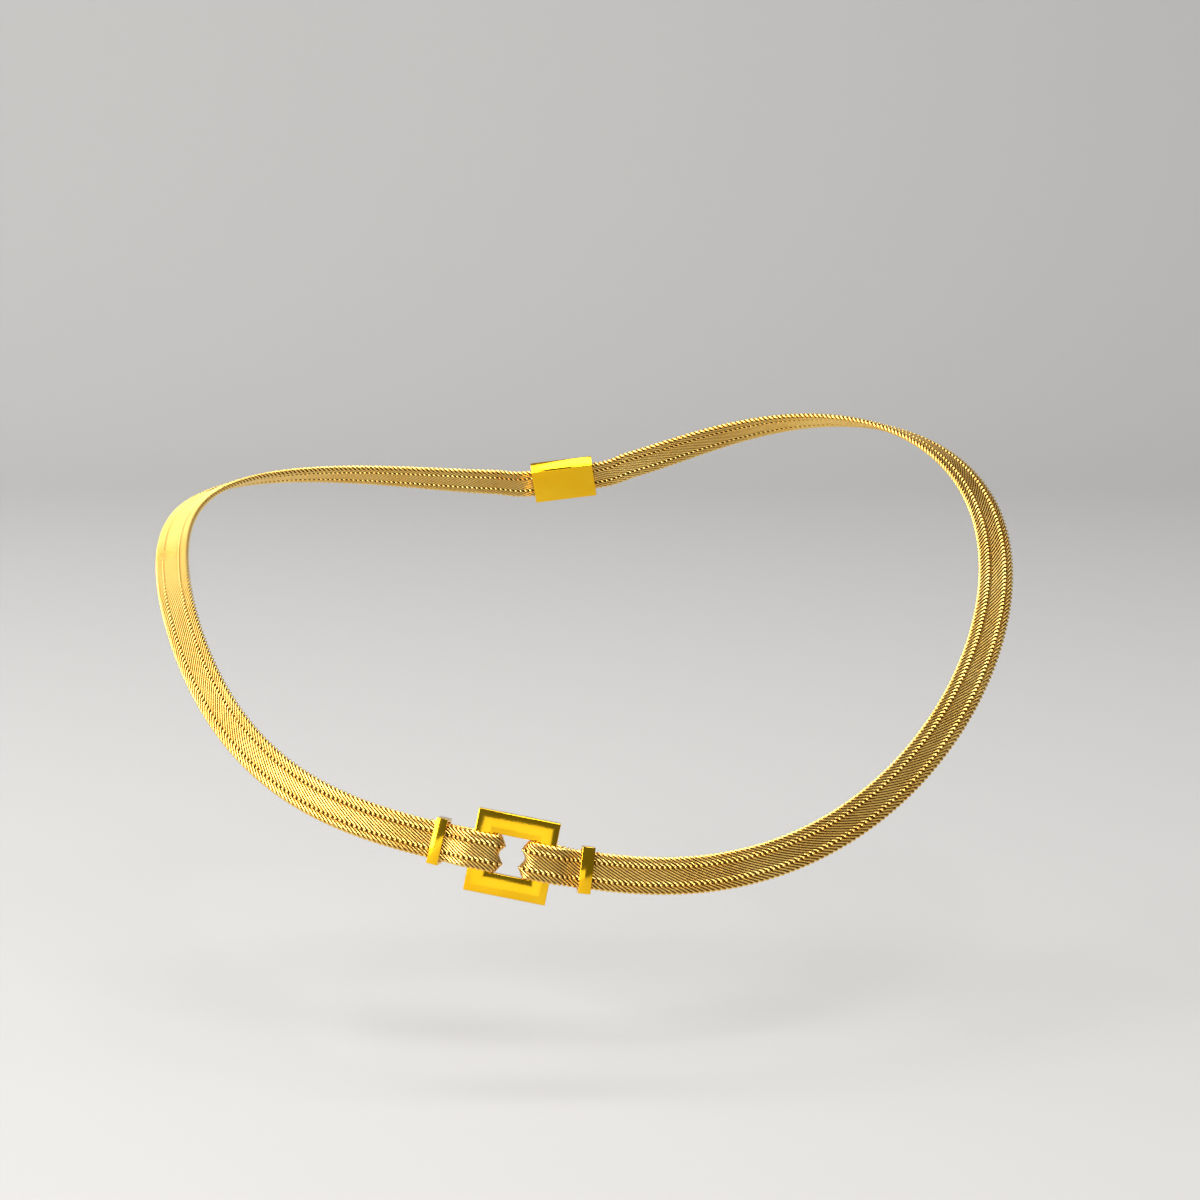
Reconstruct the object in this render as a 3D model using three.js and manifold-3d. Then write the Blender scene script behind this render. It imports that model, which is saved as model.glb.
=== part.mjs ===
// A collar necklace: one flat strap of woven gold wire, folded through a square buckle frame at the
// front and joined by a plain clasp at the nape. Millimetres, +Z up, -Y to the front, origin on the
// neck side of the clasp.
import * as THREE from 'three';
import { mergeVertices } from 'three/addons/utils/BufferGeometryUtils.js';
import Module from 'manifold-3d';

const wasm = await Module();
wasm.setup();

// ---- driving dimensions -------------------------------------------------------------------------

const STRAP_WIDTH = 6.5;
const STRAP_THICKNESS = 1.1;
const STRAP_CHAMFER = 0.3;
const GAP = 0.3;

const BUCKLE_SIDE = 14.4;
const BUCKLE_BAR = 3.8;
const BUCKLE_DEPTH = 2.4;
const BUCKLE_BEVEL = 0.2;
const NOTCH_WIDTH = 0.8;
const NOTCH_PITCH = 3.6;
const NOTCH_HEIGHT = 0.8;
const NOTCH_CUT = 0.5;

const KEEPER_WALL = 0.5;
const KEEPER_REACH = 13;
const LEFT_KEEPER_LENGTH = 2.0;
const RIGHT_KEEPER_LENGTH = 2.2;
const TAIL_PAST_KEEPER = 0.8;
const FOLD_IN_WINDOW = 1.8;
const RISE_OVER_BAR = 0.7;
const EASE_DIVISIONS = 6;
const FOLD_DIVISIONS = 12;

const CLASP_LENGTH = 12;
const CLASP_WIDTH = 8.4;
const CLASP_THICKNESS = 3;
const CLASP_CHAMFER = 0.5;
const CLASP_SOCKET = 3;

const CUT_OVERRUN = 1;
const WELD_DISTANCE = 1e-4;

// The way round the neck. turn: degrees from the middle of the front towards +X. reach: distance from
// the neck's axis. rise: height. swing: how far the strap's face looks away from straight outward, in
// degrees about the vertical. lean: how far it looks up, 0 upright and 90 lying flat.
const STATIONS = [
  { turn: 0, reach: 52, rise: 2, swing: 0, lean: 9 },
  { turn: 30, reach: 57.5, rise: 0.5, swing: -8, lean: 13 },
  { turn: 60, reach: 70.5, rise: 14.5, swing: -27, lean: 30 },
  { turn: 90, reach: 80, rise: 46, swing: -40, lean: 75 },
  { turn: 120, reach: 73, rise: 67.5, swing: -14, lean: 75 },
  { turn: 150, reach: 56.5, rise: 64, swing: 0, lean: 46 },
  { turn: 180, reach: 51, rise: 56, swing: 0, lean: 36 },
  { turn: 210, reach: 57.5, rise: 56.5, swing: 0, lean: 46 },
  { turn: 240, reach: 71, rise: 57.5, swing: 13, lean: 68 },
  { turn: 270, reach: 71.5, rise: 46, swing: 37, lean: 65 },
  { turn: 300, reach: 66, rise: 22, swing: 27, lean: 30 },
  { turn: 330, reach: 57.5, rise: 8, swing: 8, lean: 12 },
];
const BUCKLE_TURN = -8.75;
const NAPE_TURN = 180;
const ROUTE_DIVISIONS = 1440;
const STRAP_STEP = 4.5;
const SMALLEST_ANGLE = 1e-9;

// ---- materials ----------------------------------------------------------------------------------

const wovenGold = new THREE.MeshStandardMaterial({ color: 0xd9b04a, roughness: 0.38, metalness: 1 });
const polishedGold = new THREE.MeshStandardMaterial({ color: 0xf2b418, roughness: 0.1, metalness: 1 });

// ---- the way round the neck ---------------------------------------------------------------------

// The weight of one station at an angle away from it: smooth, one at the station, nought at the others.
function weight(angle) {
  const wrapped = Math.atan2(Math.sin(angle), Math.cos(angle));
  if (Math.abs(wrapped) < SMALLEST_ANGLE) return 1;
  const count = STATIONS.length;
  return Math.sin((count * wrapped) / 2) / (count * Math.tan(wrapped / 2));
}

function stationValue(column, turn) {
  let value = 0;
  for (const station of STATIONS) {
    value += station[column] * weight(turn - THREE.MathUtils.degToRad(station.turn));
  }
  return value;
}

class NeckRoute extends THREE.Curve {
  turnAt(t) {
    return THREE.MathUtils.degToRad(BUCKLE_TURN) + 2 * Math.PI * t;
  }

  getPoint(t, target = new THREE.Vector3()) {
    const turn = this.turnAt(t);
    const reach = stationValue('reach', turn);
    return target.set(reach * Math.sin(turn), -reach * Math.cos(turn), stationValue('rise', turn));
  }

  faceDirection(t) {
    const turn = this.turnAt(t);
    const azimuth = turn + THREE.MathUtils.degToRad(stationValue('swing', turn));
    const lean = THREE.MathUtils.degToRad(stationValue('lean', turn));
    return new THREE.Vector3(
      Math.cos(lean) * Math.sin(azimuth),
      -Math.cos(lean) * Math.cos(azimuth),
      Math.sin(lean),
    );
  }
}

const route = new NeckRoute();
route.arcLengthDivisions = ROUTE_DIVISIONS;
const LOOP_LENGTH = route.getLength();
const NAPE_ALONG = route.getLengths(ROUTE_DIVISIONS)[
  Math.round(((NAPE_TURN - BUCKLE_TURN) / 360) * ROUTE_DIVISIONS)
];

// The loop's axes at a length along it from the middle of the buckle: x along, y towards the neck,
// z out of the strap's face.
function axesAt(along) {
  const share = THREE.MathUtils.euclideanModulo(along / LOOP_LENGTH, 1);
  const t = route.getUtoTmapping(share);
  const x = route.getTangent(t);
  const z = route.faceDirection(t);
  z.addScaledVector(x, -z.dot(x)).normalize();
  const y = new THREE.Vector3().crossVectors(z, x);
  return new THREE.Matrix4().makeBasis(x, y, z).setPosition(route.getPoint(t));
}

// The straps run straight where a rigid piece holds them, and ease back to the route beside it.
const RIGID_EASE = 7;
const RIGID_MARGIN = 0.5;
const rigidStretches = [
  { along: 0, half: BUCKLE_SIDE / 2 + RIGID_MARGIN },
  { along: NAPE_ALONG, half: CLASP_LENGTH / 2 + RIGID_MARGIN },
].map((stretch) => ({ ...stretch, axes: axesAt(stretch.along) }));

// Takes a place on the flat strap to its place round the neck: along the loop, across it towards the
// neck, and out of its face.
function bend(along, across, out) {
  const place = new THREE.Vector3(0, across, out).applyMatrix4(axesAt(along));
  for (const stretch of rigidStretches) {
    const half = LOOP_LENGTH / 2;
    const away = THREE.MathUtils.euclideanModulo(along - stretch.along + half, LOOP_LENGTH) - half;
    const hold = 1 - THREE.MathUtils.smoothstep(
      Math.abs(away),
      stretch.half,
      stretch.half + RIGID_EASE,
    );
    const straight = new THREE.Vector3(away, across, out).applyMatrix4(stretch.axes);
    place.lerp(straight, hold);
  }
  return place;
}

// Where a rigid piece sits on the bent strap: the same axes, taken from the strap itself.
const SEAT_REACH = 0.5;

function seatAt(along) {
  const origin = bend(along, 0, 0);
  const x = bend(along + SEAT_REACH, 0, 0).sub(bend(along - SEAT_REACH, 0, 0)).normalize();
  const z = bend(along, 0, SEAT_REACH).sub(origin);
  z.addScaledVector(x, -z.dot(x)).normalize();
  const y = new THREE.Vector3().crossVectors(z, x);
  return new THREE.Matrix4().makeBasis(x, y, z).setPosition(origin);
}

// ---- solids -------------------------------------------------------------------------------------

function toSolid(geometry) {
  const bare = new THREE.BufferGeometry();
  bare.setAttribute('position', geometry.getAttribute('position').clone());
  if (geometry.index) bare.setIndex(geometry.index.clone());
  const merged = mergeVertices(bare, WELD_DISTANCE);
  const mesh = new wasm.Mesh({
    numProp: 3,
    vertProperties: new Float32Array(merged.getAttribute('position').array),
    triVerts: new Uint32Array(merged.index.array),
  });
  return new wasm.Manifold(mesh);
}

function toGeometry(solid) {
  const mesh = solid.getMesh();
  const geometry = new THREE.BufferGeometry();
  geometry.setAttribute('position', new THREE.BufferAttribute(mesh.vertProperties, 3));
  geometry.setIndex(new THREE.BufferAttribute(mesh.triVerts, 1));
  return geometry;
}

function rectangle(length, width) {
  const shape = new THREE.Shape();
  shape.moveTo(-length / 2, -width / 2);
  shape.lineTo(length / 2, -width / 2);
  shape.lineTo(length / 2, width / 2);
  shape.lineTo(-length / 2, width / 2);
  shape.closePath();
  return shape;
}

function chamferedRectangle(length, width, chamfer) {
  const x = length / 2;
  const y = width / 2;
  const shape = new THREE.Shape();
  shape.moveTo(-x + chamfer, -y);
  shape.lineTo(x - chamfer, -y);
  shape.lineTo(x, -y + chamfer);
  shape.lineTo(x, y - chamfer);
  shape.lineTo(x - chamfer, y);
  shape.lineTo(-x + chamfer, y);
  shape.lineTo(-x, y - chamfer);
  shape.lineTo(-x, -y + chamfer);
  shape.closePath();
  return shape;
}

// Turns an outline extruded along Z to run along the strap, its width across it.
const alongStrap = new THREE.Matrix4().makeBasis(
  new THREE.Vector3(0, 1, 0),
  new THREE.Vector3(0, 0, 1),
  new THREE.Vector3(1, 0, 0),
);

// ---- the buckle frame: a square frame, its rear edge notched all round ----------------------------

const WINDOW = BUCKLE_SIDE - 2 * BUCKLE_BAR;

function buckleFrame() {
  const inset = 2 * BUCKLE_BEVEL;
  const outline = rectangle(BUCKLE_SIDE - inset, BUCKLE_SIDE - inset);
  outline.holes.push(rectangle(WINDOW + inset, WINDOW + inset));
  const body = new THREE.ExtrudeGeometry(outline, {
    depth: BUCKLE_DEPTH - inset,
    bevelSize: BUCKLE_BEVEL,
    bevelThickness: BUCKLE_BEVEL,
    bevelSegments: 1,
  });
  body.translate(0, 0, BUCKLE_BEVEL - BUCKLE_DEPTH / 2);
  let frame = toSolid(body);
  const cutDepth = NOTCH_CUT + CUT_OVERRUN;
  const cutHeight = NOTCH_HEIGHT + CUT_OVERRUN;
  for (let side = 0; side < 4; side += 1) {
    for (const step of [-1, 0, 1]) {
      const notch = new THREE.BoxGeometry(NOTCH_WIDTH, cutDepth, cutHeight);
      notch.translate(
        step * NOTCH_PITCH,
        BUCKLE_SIDE / 2 - NOTCH_CUT + cutDepth / 2,
        -BUCKLE_DEPTH / 2 + NOTCH_HEIGHT - cutHeight / 2,
      );
      notch.rotateZ((side * Math.PI) / 2);
      frame = frame.subtract(toSolid(notch));
    }
  }
  return toGeometry(frame);
}

// ---- the keepers: flat rectangular collars round the strap and its folded tail --------------------

const LAYER_STEP = STRAP_THICKNESS + GAP;

function keeper(length) {
  const hollow = { width: STRAP_WIDTH + 2 * GAP, depth: STRAP_THICKNESS + LAYER_STEP + 2 * GAP };
  const outline = rectangle(hollow.width + 2 * KEEPER_WALL, hollow.depth + 2 * KEEPER_WALL);
  outline.holes.push(rectangle(hollow.width, hollow.depth));
  const collar = new THREE.ExtrudeGeometry(outline, { depth: length, bevelEnabled: false });
  collar.translate(0, 0, -length / 2);
  return collar.applyMatrix4(alongStrap).translate(0, 0, -LAYER_STEP / 2);
}

// ---- the straps: from the clasp round to the buckle, over its bar and back to the keeper ----------

const FRONT_LAYER = LAYER_STEP / 2 + RISE_OVER_BAR;
const BUCKLE_OUT = FRONT_LAYER - STRAP_THICKNESS / 2 - GAP - BUCKLE_DEPTH / 2;
const BACK_LAYER = BUCKLE_OUT - BUCKLE_DEPTH / 2 - GAP - STRAP_THICKNESS / 2;

// The strap's middle line, seen from its edge, as points of distance from the buckle's middle and
// height out of the route: the long run, up onto the bar, round it and back into the keeper.
function strapLine(keeperLength, claspEnd) {
  const barInner = WINDOW / 2;
  const barOuter = BUCKLE_SIDE / 2;
  const keeperInner = KEEPER_REACH - keeperLength / 2 - GAP;
  const keeperOuter = KEEPER_REACH + keeperLength / 2 + GAP;
  const tailEnd = keeperOuter + TAIL_PAST_KEEPER;
  const line = [];
  const runSteps = Math.ceil((claspEnd - keeperOuter) / STRAP_STEP);
  for (let step = 0; step < runSteps; step += 1) {
    const away = THREE.MathUtils.lerp(claspEnd, keeperOuter, step / runSteps);
    line.push(new THREE.Vector2(away, 0));
  }
  line.push(new THREE.Vector2(keeperOuter, 0));
  const path = new THREE.Path();
  const ease = (keeperInner - barOuter) / 2;
  path.moveTo(keeperInner, 0);
  path.bezierCurveTo(
    keeperInner - ease, 0,
    barOuter + ease, FRONT_LAYER,
    barOuter, FRONT_LAYER,
  );
  line.push(...path.getPoints(EASE_DIVISIONS));
  const fold = new THREE.EllipseCurve(
    barInner,
    (FRONT_LAYER + BACK_LAYER) / 2,
    FOLD_IN_WINDOW - STRAP_THICKNESS / 2,
    (FRONT_LAYER - BACK_LAYER) / 2,
    Math.PI / 2,
    (3 * Math.PI) / 2,
  );
  line.push(...fold.getPoints(FOLD_DIVISIONS));
  const back = new THREE.Path();
  back.moveTo(barOuter, BACK_LAYER);
  back.bezierCurveTo(
    barOuter + ease, BACK_LAYER,
    keeperInner - ease, -LAYER_STEP,
    keeperInner, -LAYER_STEP,
  );
  line.push(...back.getPoints(EASE_DIVISIONS));
  line.push(new THREE.Vector2(keeperOuter, -LAYER_STEP));
  line.push(new THREE.Vector2(tailEnd, -LAYER_STEP));
  return line;
}

// side is +1 for the strap that leaves the buckle along the loop, -1 for the one that leaves it back.
function strap(side, keeperLength, length) {
  const line = strapLine(keeperLength, length);
  const section = chamferedRectangle(STRAP_WIDTH, STRAP_THICKNESS, STRAP_CHAMFER);
  const last = line.length - 1;
  const solid = new THREE.ExtrudeGeometry(section, { depth: last, steps: last, bevelEnabled: false });
  const position = solid.getAttribute('position');
  for (let index = 0; index < position.count; index += 1) {
    const row = Math.round(position.getZ(index));
    const before = line[Math.max(row - 1, 0)];
    const after = line[Math.min(row + 1, last)];
    const onward = new THREE.Vector2().subVectors(after, before).normalize();
    const lift = position.getY(index);
    const away = line[row].x + onward.y * lift;
    const out = line[row].y - onward.x * lift;
    const place = bend(side * away, -side * position.getX(index), out);
    position.setXYZ(index, place.x, place.y, place.z);
  }
  return solid;
}

// ---- the clasp: one plain box with a shallow socket in each end -----------------------------------

function backClasp() {
  const outline = chamferedRectangle(CLASP_WIDTH, CLASP_THICKNESS, CLASP_CHAMFER);
  const box = new THREE.ExtrudeGeometry(outline, { depth: CLASP_LENGTH, bevelEnabled: false });
  box.translate(0, 0, -CLASP_LENGTH / 2);
  let clasp = toSolid(box);
  const cutLength = CLASP_SOCKET + CUT_OVERRUN;
  for (const end of [-1, 1]) {
    const socket = new THREE.BoxGeometry(STRAP_WIDTH + 2 * GAP, STRAP_THICKNESS + 2 * GAP, cutLength);
    socket.translate(0, 0, end * (CLASP_LENGTH / 2 - CLASP_SOCKET + cutLength / 2));
    clasp = clasp.subtract(toSolid(socket));
  }
  return toGeometry(clasp).applyMatrix4(alongStrap);
}

// ---- the necklace -------------------------------------------------------------------------------

const necklace = new THREE.Group();

function addPiece(name, geometry, material, seat) {
  const mesh = new THREE.Mesh(geometry, material);
  mesh.name = name;
  if (seat) mesh.applyMatrix4(seat);
  necklace.add(mesh);
}

const napeSeat = seatAt(NAPE_ALONG);
const buckleSeat = seatAt(0).multiply(new THREE.Matrix4().makeTranslation(0, 0, BUCKLE_OUT));
const strapEnd = CLASP_LENGTH / 2 - CLASP_SOCKET + GAP;
const rightLength = NAPE_ALONG - strapEnd;
const leftLength = LOOP_LENGTH - NAPE_ALONG - strapEnd;

addPiece('buckle_frame', buckleFrame(), polishedGold, buckleSeat);
addPiece('keeper_left', keeper(LEFT_KEEPER_LENGTH), polishedGold, seatAt(-KEEPER_REACH));
addPiece('keeper_right', keeper(RIGHT_KEEPER_LENGTH), polishedGold, seatAt(KEEPER_REACH));
addPiece('strap_left', strap(-1, LEFT_KEEPER_LENGTH, leftLength), wovenGold);
addPiece('strap_right', strap(1, RIGHT_KEEPER_LENGTH, rightLength), wovenGold);
addPiece('back_clasp', backClasp(), polishedGold, napeSeat);

// The origin is the middle of the clasp's face that lies on the neck.
const neckSide = new THREE.Vector3(0, 0, -CLASP_THICKNESS / 2).applyMatrix4(napeSeat);
necklace.position.copy(neckSide).negate();

export default necklace;
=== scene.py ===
# %% [markdown]
# # A collar necklace of woven gold wire
#
# The necklace is one flat strap of woven wire, folded through a square polished buckle frame at the
# front and joined by a plain clasp at the nape. The fixed frame brings in the plain solids of every
# piece at real size. This lesson gives each of them its real surface: the weave is made of wire, and
# the hard pieces get crisp edges and a polish. Everything is in metres, with +Z up and -Y to the front.

import math

import bmesh
import bpy
import numpy as np
from mathutils import Matrix, Vector


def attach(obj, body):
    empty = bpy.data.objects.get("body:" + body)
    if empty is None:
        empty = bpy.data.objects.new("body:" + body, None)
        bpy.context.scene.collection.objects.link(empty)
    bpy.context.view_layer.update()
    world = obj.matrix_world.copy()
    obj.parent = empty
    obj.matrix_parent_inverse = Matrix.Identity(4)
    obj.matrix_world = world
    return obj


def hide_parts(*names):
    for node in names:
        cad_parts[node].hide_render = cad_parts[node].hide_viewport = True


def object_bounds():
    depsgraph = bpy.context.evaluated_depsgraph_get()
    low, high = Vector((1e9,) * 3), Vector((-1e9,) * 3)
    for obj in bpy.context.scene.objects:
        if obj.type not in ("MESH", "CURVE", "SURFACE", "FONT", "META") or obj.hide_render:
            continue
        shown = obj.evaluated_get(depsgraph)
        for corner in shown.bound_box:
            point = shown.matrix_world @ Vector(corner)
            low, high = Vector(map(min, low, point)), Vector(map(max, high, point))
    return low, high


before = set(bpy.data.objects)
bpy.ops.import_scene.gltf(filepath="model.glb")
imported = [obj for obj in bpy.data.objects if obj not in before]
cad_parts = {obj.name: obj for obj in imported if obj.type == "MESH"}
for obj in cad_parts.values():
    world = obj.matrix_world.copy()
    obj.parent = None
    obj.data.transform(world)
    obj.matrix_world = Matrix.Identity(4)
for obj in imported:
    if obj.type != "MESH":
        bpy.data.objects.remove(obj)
cad_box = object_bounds()
MM = 0.001
print("pieces in the frame:", sorted(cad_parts))

# %% [markdown]
# ## The sizes that everything follows
#
# A few driving sizes describe the whole necklace. They are the real ones, in millimetres, and the
# shapes below are worked out from them, so a change here would change every piece that it touches.

# %% Driving sizes, in millimetres
STRAP_WIDTH = 6.5
STRAP_THICKNESS = 1.1
GAP = 0.3
BUCKLE_SIDE = 14.4
BUCKLE_BAR = 3.8
BUCKLE_DEPTH = 2.4
WINDOW = BUCKLE_SIDE - 2 * BUCKLE_BAR
KEEPER_WALL = 0.5
KEEPER_REACH = 13
KEEPER_LENGTHS = {"left": 2.0, "right": 2.2}
TAIL_PAST_KEEPER = 0.8
CLASP_LENGTH = 12
CLASP_WIDTH = 8.4
CLASP_THICKNESS = 3
CLASP_SOCKET = 3
print("buckle window:", round(WINDOW, 2), "mm")

# %% [markdown]
# ## The way round the neck
#
# A worn necklace is a closed loop that climbs from the chest over the shoulders to the nape. Twelve
# stations say where it runs and which way its face looks. Between them a smooth periodic blend is
# used, because it closes on itself without a seam, which a spline with loose ends wouldn't do.

# %% Stations of the loop
STATION_COLUMNS = ("turn", "reach", "rise", "swing", "lean")
STATIONS = np.array([
    (0, 52, 2, 0, 9),
    (30, 57.5, 0.5, -8, 13),
    (60, 70.5, 14.5, -27, 30),
    (90, 80, 46, -40, 75),
    (120, 73, 67.5, -14, 75),
    (150, 56.5, 64, 0, 46),
    (180, 51, 56, 0, 36),
    (210, 57.5, 56.5, 0, 46),
    (240, 71, 57.5, 13, 68),
    (270, 71.5, 46, 37, 65),
    (300, 66, 22, 27, 30),
    (330, 57.5, 8, 8, 12),
])
BUCKLE_TURN = -8.75
NAPE_TURN = 180
SMALLEST_ANGLE = 1e-9
print(len(STATIONS), "stations with columns", STATION_COLUMNS)


# %% A smooth value between the stations
def station_value(column, turn):
    count = len(STATIONS)
    rows = np.radians(STATIONS[:, 0])
    away = turn[:, None] - rows[None, :]
    away = np.arctan2(np.sin(away), np.cos(away))
    close = np.abs(away) < SMALLEST_ANGLE
    safe = np.where(close, 1.0, away)
    weight = np.where(close, 1.0, np.sin(count * safe / 2) / (count * np.tan(safe / 2)))
    return weight @ STATIONS[:, STATION_COLUMNS.index(column)]


def route_point(t):
    turn = math.radians(BUCKLE_TURN) + 2 * math.pi * t
    reach = station_value("reach", turn)
    rise = station_value("rise", turn)
    return np.stack([reach * np.sin(turn), -reach * np.cos(turn), rise], axis=1)


ROUTE_DIVISIONS = 1440
route_t = np.linspace(0, 1, ROUTE_DIVISIONS + 1)
steps = np.linalg.norm(np.diff(route_point(route_t), axis=0), axis=1)
route_along = np.concatenate([[0], np.cumsum(steps)])
LOOP_LENGTH = route_along[-1]
nape_row = round((NAPE_TURN - BUCKLE_TURN) / 360 * ROUTE_DIVISIONS)
NAPE_ALONG = route_along[nape_row]
print("loop length", round(LOOP_LENGTH, 1), "mm, nape at", round(NAPE_ALONG, 1), "mm")


# %% The strap's own axes at any length along the loop
HEADING_STEP = 1e-4


def unit(rows):
    return rows / np.linalg.norm(rows, axis=1, keepdims=True)


def axes_at(along):
    t = np.interp(np.mod(along, LOOP_LENGTH), route_along, route_t)
    x = unit(route_point(t + HEADING_STEP) - route_point(t - HEADING_STEP))
    turn = math.radians(BUCKLE_TURN) + 2 * math.pi * t
    azimuth = turn + np.radians(station_value("swing", turn))
    lean = np.radians(station_value("lean", turn))
    face = np.stack([
        np.cos(lean) * np.sin(azimuth),
        -np.cos(lean) * np.cos(azimuth),
        np.sin(lean),
    ], axis=1)
    z = unit(face - np.sum(face * x, axis=1, keepdims=True) * x)
    y = np.cross(z, x)
    return route_point(t), x, y, z


# %% Bend: from the flat strap to its place round the neck
RIGID_EASE = 7
RIGID_MARGIN = 0.5
RIGID_STRETCHES = (
    (0, BUCKLE_SIDE / 2 + RIGID_MARGIN),
    (NAPE_ALONG, CLASP_LENGTH / 2 + RIGID_MARGIN),
)
SEAT_REACH = 0.5


def smoothstep(value, low, high):
    share = np.clip((value - low) / (high - low), 0, 1)
    return share * share * (3 - 2 * share)


def bend(along, across, out):
    point, _, y, z = axes_at(along)
    place = point + y * across[:, None] + z * out[:, None]
    for middle, half in RIGID_STRETCHES:
        point, x, y, z = axes_at(np.array([middle]))
        away = np.mod(along - middle + LOOP_LENGTH / 2, LOOP_LENGTH) - LOOP_LENGTH / 2
        rigid = point + x * away[:, None] + y * across[:, None] + z * out[:, None]
        hold = 1 - smoothstep(np.abs(away), half, half + RIGID_EASE)
        place += (rigid - place) * hold[:, None]
    return place


def seat_at(along, out=0.0):
    row = np.array([along - SEAT_REACH, along + SEAT_REACH, along, along])
    lift = np.array([0, 0, 0, SEAT_REACH])
    back, ahead, origin, above = bend(row, np.zeros(4), lift)
    x = Vector(ahead - back).normalized()
    z = Vector(above - origin)
    z = (z - x * z.dot(x)).normalized()
    seat = Matrix((x, z.cross(x), z)).transposed().to_4x4()
    seat.translation = Vector(origin) + z * out
    return seat


NAPE_SEAT = seat_at(NAPE_ALONG)
ORIGIN = NAPE_SEAT @ Vector((0, 0, -CLASP_THICKNESS / 2))
print("origin of the frame on the route:", tuple(round(v, 2) for v in ORIGIN))

# %% [markdown]
# ## The camera
#
# The necklace is seen from the front, from about nine degrees above the level, with a long lens, as
# a portrait of jewellery is taken. The camera is made first, so that each piece can be looked at as
# soon as it exists.

# %% Camera
CAMERA_RISE = math.radians(9)
CAMERA_AWAY = 700
CAMERA_AIM = Vector((7.16, 0, 40.04))
SENSOR = 36
LENS = 114

camera_data = bpy.data.cameras.new("camera")
camera_data.sensor_width = SENSOR
camera_data.lens = LENS
camera_data.clip_start = 0.05
camera = bpy.data.objects.new("camera", camera_data)
bpy.context.scene.collection.objects.link(camera)
backwards = Vector((0, -math.cos(CAMERA_RISE), math.sin(CAMERA_RISE)))
camera.location = (CAMERA_AIM - ORIGIN + backwards * CAMERA_AWAY) * MM
camera.rotation_euler = (math.pi / 2 - CAMERA_RISE, 0, 0)
bpy.context.scene.camera = camera
print("camera lens", round(camera_data.lens), "mm at", tuple(round(v, 3) for v in camera.location))

# %% [markdown]
# ## Helpers for making pieces
#
# Every piece is drawn in millimetres, in flat axes of its own: x along the strap, y across it towards
# the neck, z out of its face. One helper puts a finished bmesh into its place and makes the object, so
# that each object stays at the origin, unturned and unscaled, with its place in its mesh.


# %% From a bmesh to a piece
LONG_EDGE = 1


def link_piece(name, mesh, material, smooth_angle=35):
    piece = bpy.data.objects.new(name, mesh)
    bpy.context.scene.collection.objects.link(piece)
    mesh.materials.clear()
    mesh.materials.append(material)
    mesh.shade_smooth()
    mesh.set_sharp_from_angle(angle=math.radians(smooth_angle))
    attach(piece, "root")
    return piece


def place_rigid(bm, seat):
    bmesh.ops.transform(bm, matrix=seat, verts=bm.verts)
    bmesh.ops.translate(bm, vec=-ORIGIN, verts=bm.verts)
    bmesh.ops.scale(bm, vec=(MM, MM, MM), verts=bm.verts)


def edges_along(bm, axis):
    return [e for e in bm.edges if abs(e.verts[0].co[axis] - e.verts[1].co[axis]) > LONG_EDGE]


def finish_rigid(name, bm, seat, material):
    place_rigid(bm, seat)
    bmesh.ops.recalc_face_normals(bm, faces=bm.faces)
    mesh = bpy.data.meshes.new(name)
    bm.to_mesh(mesh)
    bm.free()
    piece = link_piece(name, mesh, material)
    print(name, len(mesh.polygons), "faces")
    return piece


# %% [markdown]
# ## Gold
#
# Gold is a metal with a warm colour, so its shader is fully metallic and the base colour tints what
# it reflects. Real gold isn't perfectly even: the polish has fine hairlines and the tone drifts a
# little. Noise on Object coordinates gives both, and a bump keeps reflections from being
# mathematically perfect.


# %% A gold shader with drifting tone and fine hairlines
def gold_material(name, tones, roughness, drift_size, hairline_size, hairline_depth):
    material = bpy.data.materials.new(name)
    material.use_nodes = True
    nodes = material.node_tree.nodes
    links = material.node_tree.links
    shader = nodes["Principled BSDF"]
    shader.inputs["Metallic"].default_value = 1.0
    shader.inputs["Specular IOR Level"].default_value = 0.5

    place = nodes.new("ShaderNodeTexCoord")
    drift = nodes.new("ShaderNodeTexNoise")
    drift.inputs["Scale"].default_value = 1 / (drift_size * MM)
    drift.inputs["Detail"].default_value = 3
    links.new(place.outputs["Object"], drift.inputs["Vector"])

    tone = nodes.new("ShaderNodeValToRGB")
    tone.color_ramp.elements[0].position = 0.3
    tone.color_ramp.elements[0].color = (*tones[0], 1)
    tone.color_ramp.elements[1].position = 0.7
    tone.color_ramp.elements[1].color = (*tones[1], 1)
    links.new(drift.outputs["Fac"], tone.inputs["Fac"])
    links.new(tone.outputs["Color"], shader.inputs["Base Color"])

    polish = nodes.new("ShaderNodeMapRange")
    polish.inputs["To Min"].default_value = roughness[0]
    polish.inputs["To Max"].default_value = roughness[1]
    links.new(drift.outputs["Fac"], polish.inputs["Value"])
    links.new(polish.outputs["Result"], shader.inputs["Roughness"])

    hairline = nodes.new("ShaderNodeTexNoise")
    hairline.inputs["Scale"].default_value = 1 / (hairline_size * MM)
    hairline.inputs["Detail"].default_value = 2
    links.new(place.outputs["Object"], hairline.inputs["Vector"])
    bump = nodes.new("ShaderNodeBump")
    bump.inputs["Distance"].default_value = hairline_depth * MM
    links.new(hairline.outputs["Fac"], bump.inputs["Height"])
    links.new(bump.outputs["Normal"], shader.inputs["Normal"])
    return material


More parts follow.
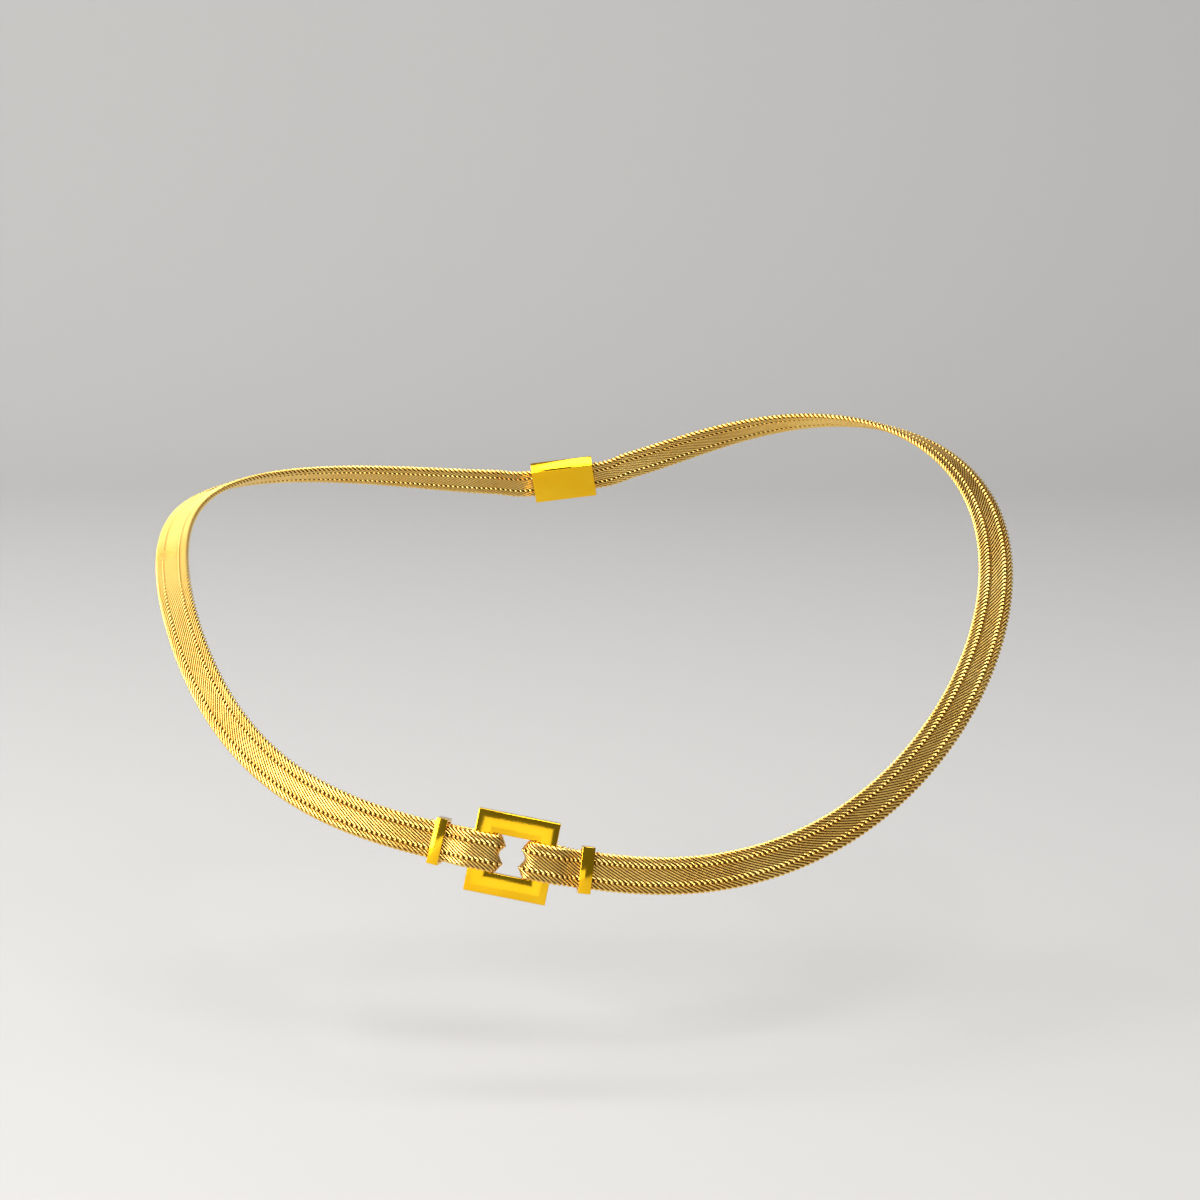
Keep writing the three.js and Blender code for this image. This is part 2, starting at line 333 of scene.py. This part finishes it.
# %% Three golds: polished, drawn wire, and a dark core that is painted shade
mirror_gold = gold_material(
    "mirror_gold",
    tones=((0.96, 0.53, 0.012), (1.0, 0.60, 0.02)),
    roughness=(0.08, 0.14),
    drift_size=6,
    hairline_size=0.5,
    hairline_depth=0.004,
)
wire_gold = gold_material(
    "wire_gold",
    tones=((0.95, 0.60, 0.14), (1.0, 0.71, 0.22)),
    roughness=(0.24, 0.32),
    drift_size=8,
    hairline_size=0.4,
    hairline_depth=0.002,
)
# The core's deep brown tones are painted shade, standing in for the shade deep inside the woven band.
shade_core_gold = gold_material(
    "shade_core_gold",
    tones=((0.14, 0.07, 0.012), (0.22, 0.11, 0.02)),
    roughness=(0.6, 0.8),
    drift_size=1,
    hairline_size=0.3,
    hairline_depth=0.02,
)
print("materials:", mirror_gold.name, wire_gold.name, shade_core_gold.name)

# %% [markdown]
# ## The strap's line, seen from its edge
#
# Each strap runs from the clasp round to the buckle, climbs onto the side bar, folds over it through
# the window, and comes back underneath into the keeper, where its tail ends. Seen from the edge that
# is one drawn line. The weave is made flat and then laid along this line.

# %% The line of one strap
LAYER_STEP = STRAP_THICKNESS + GAP
RISE_OVER_BAR = 0.7
FRONT_LAYER = LAYER_STEP / 2 + RISE_OVER_BAR
BUCKLE_OUT = FRONT_LAYER - STRAP_THICKNESS / 2 - GAP - BUCKLE_DEPTH / 2
BACK_LAYER = BUCKLE_OUT - BUCKLE_DEPTH / 2 - GAP - STRAP_THICKNESS / 2
FOLD_IN_WINDOW = 1.95
LINE_STEP = 1.0
EASE_DIVISIONS = 16
FOLD_DIVISIONS = 24


def straight(start, end):
    count = max(2, math.ceil(math.dist(start, end) / LINE_STEP))
    share = np.linspace(0, 1, count + 1)[:, None]
    return np.array(start) * (1 - share) + np.array(end) * share


def ease_curve(start, end):
    share = np.linspace(0, 1, EASE_DIVISIONS + 1)[:, None]
    reach = (end[0] - start[0]) / 2
    rows = [np.array(p) for p in (start, (start[0] + reach, start[1]), (end[0] - reach, end[1]), end)]
    weights = ((1 - share) ** 3, 3 * share * (1 - share) ** 2, 3 * share**2 * (1 - share), share**3)
    return sum(weight * row for weight, row in zip(weights, rows))


def strap_line(keeper_length, clasp_end):
    bar_inner = WINDOW / 2
    bar_outer = BUCKLE_SIDE / 2
    keeper_inner = KEEPER_REACH - keeper_length / 2 - GAP
    keeper_outer = KEEPER_REACH + keeper_length / 2 + GAP
    tail_end = keeper_outer + TAIL_PAST_KEEPER
    angle = np.linspace(math.pi / 2, 3 * math.pi / 2, FOLD_DIVISIONS + 1)
    fold = np.stack([
        bar_inner + (FOLD_IN_WINDOW - STRAP_THICKNESS / 2) * np.cos(angle),
        (FRONT_LAYER + BACK_LAYER) / 2 + (FRONT_LAYER - BACK_LAYER) / 2 * np.sin(angle),
    ], axis=1)
    rows = np.concatenate([
        straight((clasp_end, 0), (keeper_inner, 0))[:-1],
        ease_curve((keeper_inner, 0), (bar_outer, FRONT_LAYER))[:-1],
        straight((bar_outer, FRONT_LAYER), (bar_inner, FRONT_LAYER))[:-1],
        fold[:-1],
        straight((bar_inner, BACK_LAYER), (bar_outer, BACK_LAYER))[:-1],
        ease_curve((bar_outer, BACK_LAYER), (keeper_inner, -LAYER_STEP))[:-1],
        straight((keeper_inner, -LAYER_STEP), (tail_end, -LAYER_STEP)),
    ])
    length = np.concatenate([[0], np.cumsum(np.linalg.norm(np.diff(rows, axis=0), axis=1))])
    return rows, length


# %% Lay: from the flat strap onto its line, then round the neck
FOLD_WAVE = 0.75
FOLD_WAVE_REPEAT = 3.3


class Strap:
    def __init__(self, side, keeper_length, clasp_end):
        self.side = side
        self.rows, self.reach = strap_line(keeper_length, clasp_end)
        self.length = self.reach[-1]
        heading = np.gradient(self.rows, self.reach, axis=0)
        self.heading = unit(heading)

    def lay(self, along, across, out):
        """along runs the way of the loop, from one end of the strap to the other."""
        covered = along if self.side < 0 else self.length - along
        away = np.interp(covered, self.reach, self.rows[:, 0])
        lift = np.interp(covered, self.reach, self.rows[:, 1])
        heading_x = np.interp(covered, self.reach, self.heading[:, 0])
        heading_y = np.interp(covered, self.reach, self.heading[:, 1])
        away = away + heading_y * out
        lift = lift - heading_x * out
        wave = FOLD_WAVE * (1 + np.cos(2 * math.pi * across / FOLD_WAVE_REPEAT)) / 2
        depth = smoothstep(WINDOW / 2 - away, 0, FOLD_IN_WINDOW)
        away = away + wave * depth
        place = bend(self.side * away, across, lift)
        return (place - np.array(ORIGIN)) * MM


strap_end = CLASP_LENGTH / 2 - CLASP_SOCKET + GAP
straps = {
    "left": Strap(-1, KEEPER_LENGTHS["left"], LOOP_LENGTH - NAPE_ALONG - strap_end),
    "right": Strap(1, KEEPER_LENGTHS["right"], NAPE_ALONG - strap_end),
}
print("strap lengths:", {name: round(strap.length, 1) for name, strap in straps.items()}, "mm")

# %% [markdown]
# ## The weave
#
# The band is a flattened rope: many strands run side by side, and each one crosses the front on the
# slant, rolls over the edge, crosses the back and comes round again further on. Along two rows a
# strand stands nearly square across the band for a moment and swells. There the strands spread
# apart, and the bright lumps with dark holes between them read as two rows of beads. The slanted
# stretches lie shoulder to shoulder, and the edges look like a row of rounded dashes.
#
# A picture of a weave would look flat at the edges, so this one is wire. One turn of the coil is
# extruded from a small ring, an Array repeats it, and the whole sheet is laid round the neck.

# %% The path of one turn of wire
WIRE_PITCH = 0.93
WIRE_RADIUS = 0.16
WIRE_SIDES = 6
SLANT = math.radians(28)
BEAD_ROWS = (1.43, -1.66)
BEAD_HALF = 0.22
BEAD_LIFT = 0.01
BEAD_SHAPE = ((0.2, 0.8, 1.6), (0.5, 1.0, 2.0), (0.8, 0.8, 1.6), (1, 0, 1))
SLANTED_STEPS = (2, 6, 2)
COIL_HALF = STRAP_THICKNESS / 2 - WIRE_RADIUS
EDGE = STRAP_WIDTH / 2 - STRAP_THICKNESS / 2
EDGE_STEPS = 6
EDGE_SLANT = math.radians(42)
EDGE_SWELL = 0.45

# A path row is a place along, across and out of the flat strap, and how much the wire swells there.
# A row of the bead's shape is the share of the bead crossed, the share of its lift, and the swell.


def slanted(path, across, count):
    start = path[-1]
    for step in range(1, count + 1):
        down = (start[1] - across) * step / count
        path.append((start[0] + down / math.tan(SLANT), start[1] - down, COIL_HALF, 1.0))


def bead_turn(path, row):
    along = path[-1][0]
    for share, lift, swell in BEAD_SHAPE:
        across = row + BEAD_HALF - 2 * BEAD_HALF * share
        path.append((along, across, COIL_HALF + BEAD_LIFT * lift, swell))


def edge_turn(path):
    start = path[-1]
    for step in range(1, EDGE_STEPS):
        angle = math.pi * step / EDGE_STEPS
        path.append((
            start[0] + COIL_HALF * angle / math.tan(EDGE_SLANT),
            -EDGE - COIL_HALF * math.sin(angle),
            COIL_HALF * math.cos(angle),
            1 + EDGE_SWELL * math.sin(angle),
        ))


def front_half():
    path = [(0.0, EDGE, COIL_HALF, 1.0)]
    for row, count in zip(BEAD_ROWS, SLANTED_STEPS):
        slanted(path, row + BEAD_HALF, count)
        bead_turn(path, row)
    slanted(path, -EDGE, SLANTED_STEPS[-1])
    edge_turn(path)
    return np.array(path)


# %% Close the turn: the back half is the front half turned over
front = front_half()
half_run = front[-1, 0] + COIL_HALF * math.pi / EDGE_STEPS / math.tan(EDGE_SLANT)
STRANDS = round(2 * half_run / WIRE_PITCH)
TURN_RUN = STRANDS * WIRE_PITCH
front[:, 0] *= TURN_RUN / (2 * half_run)
behind = front * np.array([1, -1, -1, 1]) + np.array([TURN_RUN / 2, 0, 0, 0])
whole = np.concatenate([front, behind])
start_row = len(front) + len(front) // 2
next_turn = whole[:start_row + 1] + np.array([TURN_RUN, 0, 0, 0])
turn_rows = np.concatenate([whole[start_row:], next_turn])
turn_path = [Vector(row[:3]) for row in turn_rows]
TURN_SHIFT = Vector((TURN_RUN, 0, 0))
print("one turn:", len(turn_path) - 1, "steps in", round(TURN_RUN, 1), "mm, with", STRANDS, "strands")


# %% Extrude one turn from a ring
def ring_move(point, heading, before, heading_before, swell):
    turn = heading_before.rotation_difference(heading).to_matrix().to_4x4()
    return Matrix.Translation(point) @ turn @ Matrix.Scale(swell, 4) @ Matrix.Translation(-before)


def wire_turn():
    bm = bmesh.new()
    bmesh.ops.create_circle(bm, segments=WIRE_SIDES, radius=WIRE_RADIUS)
    joined = [turn_path[-2] - TURN_SHIFT] + turn_path + [turn_path[1] + TURN_SHIFT]
    headings = [(joined[i + 2] - joined[i]).normalized() for i in range(len(turn_path))]
    swells = turn_rows[:, 3]
    move = ring_move(turn_path[0], headings[0], Vector(), Vector((0, 0, 1)), swells[0])
    bmesh.ops.transform(bm, matrix=move, verts=bm.verts)
    edges = list(bm.edges)
    for i in range(1, len(turn_path)):
        grown = bmesh.ops.extrude_edge_only(bm, edges=edges)["geom"]
        verts = [item for item in grown if isinstance(item, bmesh.types.BMVert)]
        edges = [item for item in grown if isinstance(item, bmesh.types.BMEdge)]
        edges = [edge for edge in edges if all(vert in verts for vert in edge.verts)]
        swell = swells[i] / swells[i - 1]
        move = ring_move(turn_path[i], headings[i], turn_path[i - 1], headings[i - 1], swell)
        bmesh.ops.transform(bm, matrix=move, verts=verts)
    ends = [edge for edge in bm.edges if edge.is_boundary]
    bmesh.ops.holes_fill(bm, edges=ends, sides=WIRE_SIDES)
    bmesh.ops.recalc_face_normals(bm, faces=bm.faces)
    mesh = bpy.data.meshes.new("wire_turn")
    bm.to_mesh(mesh)
    bm.free()
    return mesh


turn_mesh = wire_turn()
print("one turn of wire:", len(turn_mesh.polygons), "faces")


# %% Repeat the turn, trim the sheet square and lay it round the neck
def repeated(mesh, count, start):
    holder = bpy.data.objects.new("repeat", mesh.copy())
    bpy.context.scene.collection.objects.link(holder)
    repeat = holder.modifiers.new("repeat", "ARRAY")
    repeat.use_relative_offset = False
    repeat.use_constant_offset = True
    repeat.constant_offset_displace = (WIRE_PITCH, 0, 0)
    repeat.count = count
    holder.data.transform(Matrix.Translation((start, 0, 0)))
    bpy.context.view_layer.update()
    bm = bmesh.new()
    bm.from_object(holder, bpy.context.evaluated_depsgraph_get())
    bpy.data.objects.remove(holder)
    return bm


def trim(bm, x, direction):
    everything = list(bm.verts) + list(bm.edges) + list(bm.faces)
    bmesh.ops.bisect_plane(
        bm, geom=everything, plane_co=(x, 0, 0), plane_no=(direction, 0, 0), clear_outer=True,
    )
    cut = [edge for edge in bm.edges if edge.is_boundary]
    bmesh.ops.holes_fill(bm, edges=cut, sides=0)


def laid(bm, strap, name):
    bmesh.ops.triangulate(bm, faces=bm.faces)
    mesh = bpy.data.meshes.new(name)
    bm.to_mesh(mesh)
    bm.free()
    flat = np.empty(len(mesh.vertices) * 3)
    mesh.vertices.foreach_get("co", flat)
    flat = flat.reshape(-1, 3)
    mesh.vertices.foreach_set("co", strap.lay(flat[:, 0], flat[:, 1], flat[:, 2]).ravel())
    mesh.update()
    return mesh


def weave(side):
    strap = straps[side]
    count = math.ceil((strap.length + TURN_RUN) / WIRE_PITCH) + 1
    bm = repeated(turn_mesh, count, -TURN_RUN - turn_rows[0, 0])
    trim(bm, 0, -1)
    trim(bm, strap.length, 1)
    name = "strap_" + side + "_weave"
    piece = link_piece(name, laid(bm, strap, name), wire_gold, smooth_angle=80)
    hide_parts("strap_" + side)
    print(name, len(piece.data.polygons), "triangles in", count, "turns")


weave("left")
weave("right")

# %% [markdown]
# ## The core of the strap, dark as painted shade
#
# Behind the wires a real woven band is dark: the light doesn't reach in. A thin flat core fills the
# middle of each coil, and its deep brown gold is painted shade that stands in for that dark. It stops
# the eye from seeing through the holes, and its painted shade gives the bead rows their dark spots.

# %% Core ribbons, dark as painted shade
CORE_WIDTH = 5.85
CORE_THICKNESS = 0.36
CORE_STEP = 0.8
CORE_CUTS_ACROSS = 7
CORE_SHORTER_BY = 0.4


def core(side):
    strap = straps[side]
    bm = bmesh.new()
    bmesh.ops.create_cube(bm, size=1)
    bmesh.ops.scale(bm, vec=(strap.length - CORE_SHORTER_BY, CORE_WIDTH, CORE_THICKNESS), verts=bm.verts)
    bmesh.ops.translate(bm, vec=(strap.length / 2, 0, 0), verts=bm.verts)
    cuts = round(strap.length / CORE_STEP)
    bmesh.ops.subdivide_edges(bm, edges=edges_along(bm, 0), cuts=cuts, use_grid_fill=True)
    cuts = CORE_CUTS_ACROSS
    bmesh.ops.subdivide_edges(bm, edges=edges_along(bm, 1), cuts=cuts, use_grid_fill=True)
    name = "strap_" + side + "_shade_core"
    # The ribbon gets the dark core gold, which is painted shade inside the band.
    piece = link_piece(name, laid(bm, strap, name), shade_core_gold)
    print(name, len(piece.data.polygons), "triangles")


core("left")
core("right")

# %% [markdown]
# ## The buckle frame
#
# The frame is a square of polished gold with a square window. Its face is slightly crowned, so that
# each bar carries a long soft reflection, and a fine bevel catches the light along every edge. The
# rear edge is notched all round. The frame starts as one square face: an inset opens the window, an
# extrusion gives the depth, further insets raise the crown, and a boolean cuts the notches.

# %% Frame body
BUCKLE_BEVEL = 0.16
CROWN_STEPS = ((0.2, 0.045), (0.25, 0.045), (0.25, 0.032), (0.25, 0.022), (0.3, 0.015), (0.35, 0.008))
SHARP_ANGLE = 0.9
FLAT_TOLERANCE = 1e-4


def square_ring(bm, length, width, wall):
    bmesh.ops.create_grid(bm, x_segments=1, y_segments=1, size=0.5)
    bmesh.ops.scale(bm, vec=(length, width, 1), verts=bm.verts)
    window = list(bm.faces)
    bmesh.ops.inset_region(bm, faces=window, thickness=wall, use_boundary=True, use_even_offset=True)
    bmesh.ops.delete(bm, geom=window, context="FACES")
    return list(bm.faces)


def thicken(bm, faces, depth):
    grown = bmesh.ops.extrude_face_region(bm, geom=faces)["geom"]
    verts = [item for item in grown if isinstance(item, bmesh.types.BMVert)]
    bmesh.ops.translate(bm, vec=(0, 0, depth), verts=verts)
    bmesh.ops.translate(bm, vec=(0, 0, -depth / 2), verts=bm.verts)
    bmesh.ops.recalc_face_normals(bm, faces=bm.faces)


def bevel_sharp(bm, width, segments):
    sharp = [e for e in bm.edges if len(e.link_faces) == 2 and e.calc_face_angle(0) > SHARP_ANGLE]
    bmesh.ops.bevel(
        bm, geom=sharp, offset=width, segments=segments, profile=0.5, affect="EDGES", material=-1,
    )


# %% Notches along the rear edge
NOTCH_WIDTH = 0.8
NOTCH_PITCH = 3.6
NOTCH_HEIGHT = 0.8
NOTCH_CUT = 0.5


def notches():
    bm = bmesh.new()
    for side in range(4):
        for step in (-1, 0, 1):
            cube = bmesh.ops.create_cube(bm, size=1)["verts"]
            bmesh.ops.scale(bm, vec=(NOTCH_WIDTH, 2 * NOTCH_CUT, 2 * NOTCH_HEIGHT), verts=cube)
            place = (step * NOTCH_PITCH, BUCKLE_SIDE / 2, -BUCKLE_DEPTH / 2)
            bmesh.ops.translate(bm, vec=place, verts=cube)
            turn = Matrix.Rotation(side * math.pi / 2, 3, "Z")
            bmesh.ops.rotate(bm, cent=(0, 0, 0), matrix=turn, verts=cube)
    mesh = bpy.data.meshes.new("notches")
    bm.to_mesh(mesh)
    bm.free()
    return mesh


def cut_by(bm, cutter_mesh):
    body_mesh = bpy.data.meshes.new("body")
    bm.to_mesh(body_mesh)
    bm.free()
    body = bpy.data.objects.new("body", body_mesh)
    cutter = bpy.data.objects.new("cutter", cutter_mesh)
    for item in (body, cutter):
        bpy.context.scene.collection.objects.link(item)
    cut = body.modifiers.new("cut", "BOOLEAN")
    cut.operation = "DIFFERENCE"
    cut.solver = "EXACT"
    cut.object = cutter
    bpy.context.view_layer.update()
    result = bmesh.new()
    result.from_object(body, bpy.context.evaluated_depsgraph_get())
    for item in (body, cutter):
        bpy.data.objects.remove(item)
    return result


# %% Put the frame together
def buckle_frame():
    bm = bmesh.new()
    ring = square_ring(bm, BUCKLE_SIDE, BUCKLE_SIDE, BUCKLE_BAR)
    crown = sum(rise for _, rise in CROWN_STEPS)
    thicken(bm, ring, BUCKLE_DEPTH - crown)
    bmesh.ops.translate(bm, vec=(0, 0, -crown / 2), verts=bm.verts)
    bevel_sharp(bm, BUCKLE_BEVEL, 3)
    top = max(face.calc_center_median().z for face in bm.faces)
    face_ring = [face for face in bm.faces if face.calc_center_median().z > top - FLAT_TOLERANCE]
    for width, rise in CROWN_STEPS:
        bmesh.ops.inset_region(bm, faces=face_ring, thickness=width, depth=rise, use_even_offset=True)
    bm = cut_by(bm, notches())
    seat = seat_at(0, BUCKLE_OUT)
    piece = finish_rigid("buckle", bm, seat, mirror_gold)
    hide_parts("buckle_frame")


buckle_frame()

# %% [markdown]
# ## The keepers
#
# A keeper is a flat rectangular collar that holds the folded tail against the strap. It is a ring
# cut from a rectangle and extruded by its own length, with a fine bevel so that its edges catch light.

# %% Keepers
KEEPER_BEVEL = 0.1
ALONG_AXES = Matrix(((0, 0, 1), (1, 0, 0), (0, 1, 0))).to_4x4()


def keeper(side, direction):
    width = STRAP_WIDTH + 2 * GAP + 2 * KEEPER_WALL
    depth = STRAP_THICKNESS + LAYER_STEP + 2 * GAP + 2 * KEEPER_WALL
    bm = bmesh.new()
    ring = square_ring(bm, width, depth, KEEPER_WALL)
    thicken(bm, ring, KEEPER_LENGTHS[side])
    bevel_sharp(bm, KEEPER_BEVEL, 2)
    bmesh.ops.transform(bm, matrix=ALONG_AXES, verts=bm.verts)
    seat = seat_at(direction * KEEPER_REACH, -LAYER_STEP / 2)
    piece = finish_rigid("keeper_" + side + "_collar", bm, seat, mirror_gold)
    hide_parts("keeper_" + side)


keeper("left", -1)
keeper("right", 1)

# %% [markdown]
# ## The clasp
#
# Nothing shows of the clasp when the necklace is worn, so it is one plain box with rounded edges and
# a shallow socket for each strap. Each socket is an inset of the end face, pushed inwards.

# %% Clasp
CLASP_BEVEL = 0.45
CLASP_EDGE_BEVEL = 0.1
RIM_ANGLE = 1.2
RIM_TOLERANCE = 1e-3
WELD_DISTANCE = 1e-5


def clasp():
    bm = bmesh.new()
    bmesh.ops.create_cube(bm, size=1)
    bmesh.ops.scale(bm, vec=(CLASP_LENGTH, CLASP_WIDTH, CLASP_THICKNESS), verts=bm.verts)
    bmesh.ops.bevel(
        bm, geom=edges_along(bm, 0), offset=CLASP_BEVEL, segments=4, profile=0.5, affect="EDGES",
        material=-1,
    )
    wall = (CLASP_WIDTH - STRAP_WIDTH) / 2 - GAP
    for end in (-1, 1):
        face = max(bm.faces, key=lambda item: item.calc_center_median().x * end)
        bmesh.ops.inset_region(bm, faces=[face], thickness=wall, use_even_offset=True)
        grown = bmesh.ops.extrude_discrete_faces(bm, faces=[face])["faces"]
        bmesh.ops.translate(bm, vec=(-end * CLASP_SOCKET, 0, 0), verts=grown[0].verts)
        bmesh.ops.remove_doubles(bm, verts=bm.verts, dist=WELD_DISTANCE)
    rims = [e for e in bm.edges if len(e.link_faces) == 2 and e.calc_face_angle(0) > RIM_ANGLE]
    rims = [e for e in rims if abs(abs(e.verts[0].co.x) - CLASP_LENGTH / 2) < RIM_TOLERANCE]
    bmesh.ops.bevel(
        bm, geom=rims, offset=CLASP_EDGE_BEVEL, segments=2, profile=0.5, affect="EDGES", material=-1,
    )
    piece = finish_rigid("clasp_box", bm, NAPE_SEAT, mirror_gold)
    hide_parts("back_clasp")


clasp()

# %% [markdown]
# ## The studio
#
# The necklace keeps its worn form and hangs from its nape, a little above a plain pale floor that
# sweeps up into a backdrop. Gold shows what surrounds it, so the light is soft and comes mostly from
# the left: a large panel there turns that strap pale, and the right one stays a deeper gold. The
# view transform is Standard, because a film-like one washes the yellow out of bright gold.

# %% Floor and backdrop
FLOOR_DROP = 0.030
FLOOR_WIDTH = 4.0
FLOOR_FRONT = -1.6
FLOOR_BACK = 1.2
WALL_HEIGHT = 2.0
SWEEP_RADIUS = 0.5
REAR_TOLERANCE = 0.01
PAPER_TONE = (0.42, 0.415, 0.405)
PAPER_ROUGHNESS = 0.9


def plain_material(name, color, roughness):
    material = bpy.data.materials.new(name)
    material.use_nodes = True
    shader = material.node_tree.nodes["Principled BSDF"]
    shader.inputs["Base Color"].default_value = (*color, 1)
    shader.inputs["Roughness"].default_value = roughness
    return material


def backdrop():
    lowest = cad_box[0][2] - FLOOR_DROP
    bm = bmesh.new()
    bmesh.ops.create_grid(bm, x_segments=1, y_segments=1, size=0.5)
    bmesh.ops.scale(bm, vec=(FLOOR_WIDTH, FLOOR_BACK - FLOOR_FRONT, 1), verts=bm.verts)
    bmesh.ops.translate(bm, vec=(0, (FLOOR_BACK + FLOOR_FRONT) / 2, lowest), verts=bm.verts)
    rear = [e for e in bm.edges if all(v.co.y > FLOOR_BACK - REAR_TOLERANCE for v in e.verts)]
    grown = bmesh.ops.extrude_edge_only(bm, edges=rear)["geom"]
    verts = [item for item in grown if isinstance(item, bmesh.types.BMVert)]
    bmesh.ops.translate(bm, vec=(0, 0, WALL_HEIGHT), verts=verts)
    corner = [e for e in bm.edges if len(e.link_faces) == 2]
    bmesh.ops.bevel(
        bm, geom=corner, offset=SWEEP_RADIUS, segments=16, profile=0.5, affect="EDGES", material=-1,
    )
    mesh = bpy.data.meshes.new("backdrop")
    bm.to_mesh(mesh)
    bm.free()
    sheet = bpy.data.objects.new("backdrop", mesh)
    bpy.context.scene.collection.objects.link(sheet)
    mesh.materials.append(plain_material("pale_paper", PAPER_TONE, PAPER_ROUGHNESS))
    mesh.shade_smooth()
    print("floor at", round(lowest, 3), "m")


backdrop()


# %% Lights
LIGHT_AIM = Vector((0, -0.05, -0.02))
AIR_TONE = (0.9, 0.93, 1.0)
AIR_STRENGTH = 0.16


def panel(name, place, size, power, tint=(1, 1, 1)):
    data = bpy.data.lights.new(name, "AREA")
    data.shape = "RECTANGLE"
    data.size, data.size_y = size
    data.energy = power
    data.color = tint
    light = bpy.data.objects.new(name, data)
    bpy.context.scene.collection.objects.link(light)
    light.location = place
    light.rotation_euler = (LIGHT_AIM - Vector(place)).to_track_quat("-Z", "Y").to_euler()


panel("key_panel", (-0.85, -0.9, 0.35), (0.8, 0.8), 22, (1, 0.98, 0.94))
panel("left_panel", (-0.95, -0.15, 0.75), (1.3, 1.3), 17)
panel("front_panel", (-0.22, -1.3, 0.0), (0.66, 0.18), 0.42, (1, 0.98, 0.93))
panel("high_panel", (0.25, -0.8, 0.85), (0.5, 0.4), 5.5)
panel("top_panel", (-0.1, 0.15, 1.1), (0.6, 0.5), 4)
panel("backdrop_panel", (0, 0.25, 1.2), (1.5, 0.4), 4)

world = bpy.data.worlds.new("studio")
bpy.context.scene.world = world
world.use_nodes = True
air = world.node_tree.nodes["Background"]
air.inputs["Color"].default_value = (*AIR_TONE, 1)
air.inputs["Strength"].default_value = AIR_STRENGTH
bpy.context.scene.view_settings.view_transform = "Standard"
